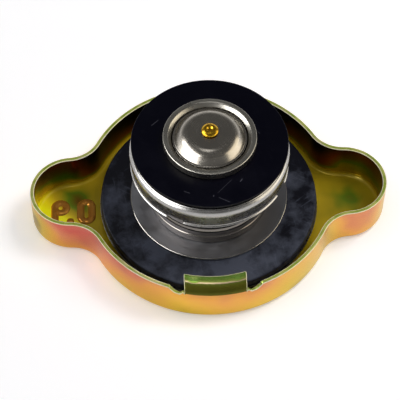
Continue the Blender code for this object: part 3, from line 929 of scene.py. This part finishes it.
def cupSkin():
    s = cupSizes
    shape = turnedSkin(
        [
            (s["hole"], s["floor"], 0),
            (s["hemInner"], s["floor"], 0.2),
            (s["hemInner"], s["hemTop"], 0.15),
            (s["hemEdge"], s["hemTop"], 0.15),
            (s["hemRadius"], s["hemBelly"], 0.6),
            (s["hemRadius"], s["hemBottom"], 0.1),
            (s["skirt"], s["skirtTop"], 0.08),
            (s["clawRootRadius"], s["clawRoot"], 0),
            (s["skirtFoot"], s["lipTurn"], 0.08),
            (s["lip"], s["lipEdge"], 0.05),
            (s["lip"], s["lipBottom"], 0),
        ],
        s["steps"],
    )
    bendClaws(shape)
    return shape


def bendClaws(shape):
    # slits the lip beside four short tongues and bends them in, to hook under the bell's flange
    s = cupSizes

    def offClaw(point):
        angle = math.degrees(math.atan2(point.y, point.x))
        return min(abs((angle - middle + 180) % 360 - 180) for middle in s["clawAngles"]) - s["clawHalf"]

    root, bendShare = s["clawRoot"] * mm, s["clawBendShare"]
    slits = []
    for face in shape.faces:
        middle = face.calc_center_median()
        if middle.z < root and 0 < offClaw(middle) < s["slit"]:
            slits.append(face)
    bmesh.ops.delete(shape, geom=slits, context="FACES")
    for vert in shape.verts:
        if vert.co.z > root - 1e-6 or offClaw(vert.co) > 0.1:
            continue
        down = (root - vert.co.z) / (root - s["lipBottom"] * mm)
        turn = min(1, down / bendShare) * math.pi / 2
        reach = max(0, down - bendShare) / (1 - bendShare)
        bent = s["clawRootRadius"] - s["clawBend"] * (1 - math.cos(turn))
        radius = bent + (s["clawTip"] - bent) * reach
        scale = radius * mm / vert.co.xy.length
        vert.co = (vert.co.x * scale, vert.co.y * scale, root - s["clawBend"] * math.sin(turn) * mm)


sealSizes = {
    "bore": 10.05,
    "face": 29.95,
    "lip": 19.15,
    "lipRound": 0.12,
    "lipUnder": 29.3,
    "body": 18.25,
    "bottom": 27.95,
}
retainerSizes = {
    "bore": 6.5,
    "wellFloor": 28.45,
    "well": 9.3,
    "shoulder": 31.45,
    "crownInner": 10.3,
    "crown": 32.35,
    "crownEdge": 32.27,
    "radius": 11.4,
    "foot": 30.2,
    "sheet": 0.5,
}


def sealShape():
    s = sealSizes
    return turnedSolid(
        [
            (s["bore"], s["face"], 0),
            (s["lip"], s["face"], s["lipRound"]),
            (s["lip"], s["lipUnder"], 0.1),
            (s["body"], s["lipUnder"], 0),
            (s["body"], s["bottom"], 0),
            (s["bore"], s["bottom"], 0),
        ],
        True,
    )


def retainerSkin():
    s = retainerSizes
    return turnedSkin(
        [
            (s["bore"], s["wellFloor"], 0),
            (s["well"], s["wellFloor"], 0.3),
            (s["well"], s["shoulder"], 0.2),
            (s["crownInner"], s["crown"], 0.3),
            (s["radius"], s["crownEdge"], 0.25),
            (s["radius"], s["foot"], 0),
        ]
    )


valveBody, retainerSheet = "pressure_valve", retainerSizes["sheet"]
dress(cupSkin(), "drawn_valve_cup", "cup", valveBody, "stainless", "valve_cup", cupSizes["sheet"])
dress(sealShape(), "pressure_seal_ring", "seal", valveBody, "seal_rubber", "pressure_seal")
dress(retainerSkin(), "rolled_retainer", "retainer", valveBody, "stainless", "seal_retainer", retainerSheet)
print("pressure valve ready")

# Vacuum valve: a dished disc on a brass stem
dishSizes = {
    "bore": 1.85,
    "flat": 6.3,
    "top": 34.05,
    "bend": 1.4,
    "cone": 8.6,
    "edge": 9.05,
    "edgeTop": 31.45,
    "sheet": 0.45,
    "edgeRound": 0.08,
}
stemSizes = {
    "pit": 0.4,
    "pitFloor": 34.72,
    "ring": 0.85,
    "top": 35.1,
    "dome": 1.3,
    "head": 2.08,
    "headSide": 34.65,
    "headUnder": 34.3,
    "shaft": 1.6,
    "footTop": 19.9,
    "foot": 2.6,
    "bottom": 19.1,
}


def dishSkin():
    s = dishSizes
    return turnedSkin(
        [
            (s["bore"], s["top"], 0),
            (s["flat"], s["top"], s["bend"]),
            (s["cone"], s["edgeTop"], 0.15),
            (s["edge"], s["edgeTop"], 0),
        ]
    )


def stemShape():
    s = stemSizes
    return turnedSolid(
        [
            (0, s["pitFloor"], 0),
            (s["pit"], s["pitFloor"], 0.1),
            (s["ring"], s["top"], 0.12),
            (s["dome"], s["top"], 0.2),
            (s["head"], s["headSide"], 0.25),
            (s["head"], s["headUnder"], 0),
            (s["shaft"], s["headUnder"], 0),
            (s["shaft"], s["footTop"], 0),
            (s["foot"], s["footTop"], 0),
            (s["foot"], s["bottom"], 0.3),
            (0, s["bottom"], 0),
        ],
        False,
        64,
    )


dishWall = dishSizes["sheet"], dishSizes["edgeRound"]
dress(dishSkin(), "vacuum_dish", "disc", "vacuum_valve", "stainless", "vacuum_disc", *dishWall)
dress(stemShape(), "brass_stem", "brass", "vacuum_valve", "brass", "vacuum_stem")
print("vacuum valve ready")

# Springs, wound at rest: on the cap each has one fixed end and shortens as its valve moves
springs = {
    "main_coil": {
        "node": "main_spring",
        "body": "stack",
        "wire": 1.7,
        "coil": 13.1,
        "bottom": 9.25,
        "top": 27.05,
        "openTurns": 3.5,
        "fixedEnd": "bottom",
        "joint": "pressure_slide",
        "travel": 4.0,
    },
    "vacuum_coil": {
        "node": "vacuum_spring",
        "body": "pressure_valve",
        "wire": 0.6,
        "coil": 5.0,
        "bottom": 21.125,
        "top": 27.05,
        "openTurns": 3.5,
        "fixedEnd": "top",
        "joint": "vacuum_slide",
        "travel": 1.8,
    },
}
windingSizes = {"gap": 0.15, "wireSides": 12, "stepsPerTurn": 64}


def windSpring(spring):
    # one closed turn at each end and open turns between them, wound from a round section of wire
    shape = bmesh.new()
    wire = spring["wire"]
    closedPitch = wire + windingSizes["gap"]
    openPitch = (spring["top"] - spring["bottom"] - wire - 2 * closedPitch) / spring["openTurns"]
    start = Matrix.Translation(Vector((spring["coil"], 0, spring["bottom"] + wire / 2)) * mm)
    upright = start @ Matrix.Rotation(math.pi / 2, 4, "X")
    bmesh.ops.create_circle(shape, segments=windingSizes["wireSides"], radius=wire / 2 * mm, matrix=upright)
    section = shape.verts[:] + shape.edges[:]
    for turns, pitch in ((1, closedPitch), (spring["openTurns"], openPitch), (1, closedPitch)):
        steps = round(turns * windingSizes["stepsPerTurn"])
        wound = bmesh.ops.spin(
            shape,
            geom=section,
            cent=(0, 0, 0),
            axis=(0, 0, 1),
            dvec=(0, 0, turns * pitch * mm / steps),
            angle=2 * math.pi * turns,
            steps=steps,
        )
        section = wound["geom_last"]
    bmesh.ops.holes_fill(shape, edges=[edge for edge in shape.edges if edge.is_boundary], sides=0)
    bmesh.ops.recalc_face_normals(shape, faces=shape.faces)
    return shape


for springName, spring in springs.items():
    coats, replaced = [finishes["spring"]], [spring["node"]]
    coil = finishPiece(windSpring(spring), springName, coats, spring["body"], replaced, 60)
    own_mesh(coil)
print("springs ready")

# hidden pieces keep their solids and only get a finish
carriedCoats = {
    "centre_rivet": "rivet",
    "slip_washer": "spring",
    "rivet_washer": "rivet",
    "spring_keeper": "plate",
    "vacuum_seal": "small seal",
}
for nodeName, coat in carriedCoats.items():
    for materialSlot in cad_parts[nodeName].material_slots:
        materialSlot.material = finishes[coat]

cameraView = {
    "standsAt": (-0.01597, -0.2244, 0.3308),
    "looksAt": (-0.00207, 0.00247, 0.00157),
    "lens": 139.57,
    "sensor": 36,
    "nearest": 0.01,
    "roll": 0.55,  # degrees
}
lamps = {
    # each lamp aims at the cap; it shows in reflections, or gives the even light on dull surfaces
    "leftSoftbox": {
        "at": (-0.573, -0.154, 0.371), "size": (0.84, 0.42), "radiance": 5.0,
        "colour": "ffffff", "shows": "glossy",
    },
    "rightSoftbox": {
        "at": (0.62, -0.06, 0.26), "size": (0.7, 0.4), "radiance": 1.6,
        "colour": "fff3da", "shows": "glossy",
    },
    "topSoftbox": {
        "at": (-0.05, 0.04, 0.9), "size": (0.22, 0.22), "radiance": 1.6,
        "colour": "ffffff", "shows": "glossy",
    },
    "keyLamp": {
        "at": (0.41, 0.13, 0.68), "size": (0.3, 0.3), "radiance": 10.0,
        "colour": "fffaf0", "shows": "diffuse",
    },
    "fillSoftbox": {
        "at": (-0.1, -0.1, 1.0), "size": (1.2, 1.2), "radiance": 1.1,
        "colour": "eef1ff", "shows": "diffuse",
    },
}
backdrop = {
    "skyByHeight": [(0.0, 1.0), (0.1, 0.8), (0.25, 0.35), (0.45, 0.12), (1.0, 0.1)],
    "paper": "f4f4f4",
    "paperRoughness": 0.9,
    "paperGlow": {"camera": 0.3, "glossy": 0.1},
    "farGlow": (0.22, 0.9, 0.0, 0.7),  # two distances in metres, and the added glow at each
    "halfSize": 3,
}
lampAim = (0, 0, 0.01)


def addCamera():
    camera = bpy.data.objects.new("camera", bpy.data.cameras.new("camera"))
    bpy.context.scene.collection.objects.link(camera)
    camera.data.lens = cameraView["lens"]
    camera.data.sensor_width = cameraView["sensor"]
    camera.data.clip_start = cameraView["nearest"]
    place, aim = Vector(cameraView["standsAt"]), Vector(cameraView["looksAt"])
    turn = (aim - place).to_track_quat("-Z", "Y").to_matrix().to_4x4()
    roll = Matrix.Rotation(math.radians(cameraView["roll"]), 4, "Z")
    camera.matrix_world = Matrix.Translation(place) @ turn @ roll
    bpy.context.scene.camera = camera


def addLamp(name, lamp):
    light = bpy.data.lights.new(name, "AREA")
    light.shape = "RECTANGLE"
    light.size, light.size_y = lamp["size"]
    light.energy = lamp["radiance"] * math.pi * light.size * light.size_y
    light.color = linearColour(lamp["colour"])[:3]
    item = bpy.data.objects.new(name, light)
    bpy.context.scene.collection.objects.link(item)
    place = Vector(lamp["at"])
    turn = (Vector(lampAim) - place).to_track_quat("-Z", "Y").to_matrix().to_4x4()
    item.matrix_world = Matrix.Translation(place) @ turn
    item.visible_glossy = lamp["shows"] == "glossy"
    item.visible_diffuse = lamp["shows"] == "diffuse"


def addWorld():
    # a studio that is dark overhead and bright at the horizon
    world = bpy.data.worlds.new("darkStudio")
    bpy.context.scene.world = world
    world.use_nodes = True
    tree = world.node_tree
    direction = addNode(tree, "TexCoord").outputs["Generated"]
    height = addNode(tree, "SeparateXYZ", inputs={"Vector": direction}).outputs["Z"]
    sky = addRamp(tree, height, backdrop["skyByHeight"])
    tree.links.new(sky, tree.nodes["Background"].inputs["Color"])


def addPaperFloor():
    shape = bmesh.new()
    bmesh.ops.create_grid(shape, x_segments=1, y_segments=1, size=backdrop["halfSize"])
    mesh = bpy.data.meshes.new("paper_floor")
    shape.to_mesh(mesh)
    shape.free()
    floor = bpy.data.objects.new("paper_floor", mesh)
    bpy.context.scene.collection.objects.link(floor)
    # white paper, matt, that glows only where the camera or a reflection sees it
    material, tree, shader, place = newMaterial("whitePaper")
    shader.inputs["Base Color"].default_value = linearColour(backdrop["paper"])
    shader.inputs["Roughness"].default_value = backdrop["paperRoughness"]
    shader.inputs["Specular IOR Level"].default_value = 0.0
    rays = addNode(tree, "LightPath").outputs
    glows, away = backdrop["paperGlow"], vectorStep(tree, "LENGTH", place)
    seen = compute(tree, "ADD", spread(tree, away, *backdrop["farGlow"]), glows["camera"])
    direct = compute(tree, "MULTIPLY", rays["Is Camera Ray"], seen)
    mirrored = compute(tree, "MULTIPLY", rays["Is Glossy Ray"], glows["glossy"])
    shader.inputs["Emission Color"].default_value = (1, 1, 1, 1)
    tree.links.new(compute(tree, "ADD", direct, mirrored), shader.inputs["Emission Strength"])
    mesh.materials.append(material)


addCamera()
for lampName, lamp in lamps.items():
    addLamp(lampName, lamp)
addWorld()
addPaperFloor()
bpy.context.scene.view_settings.view_transform = "Standard"
print("studio ready")
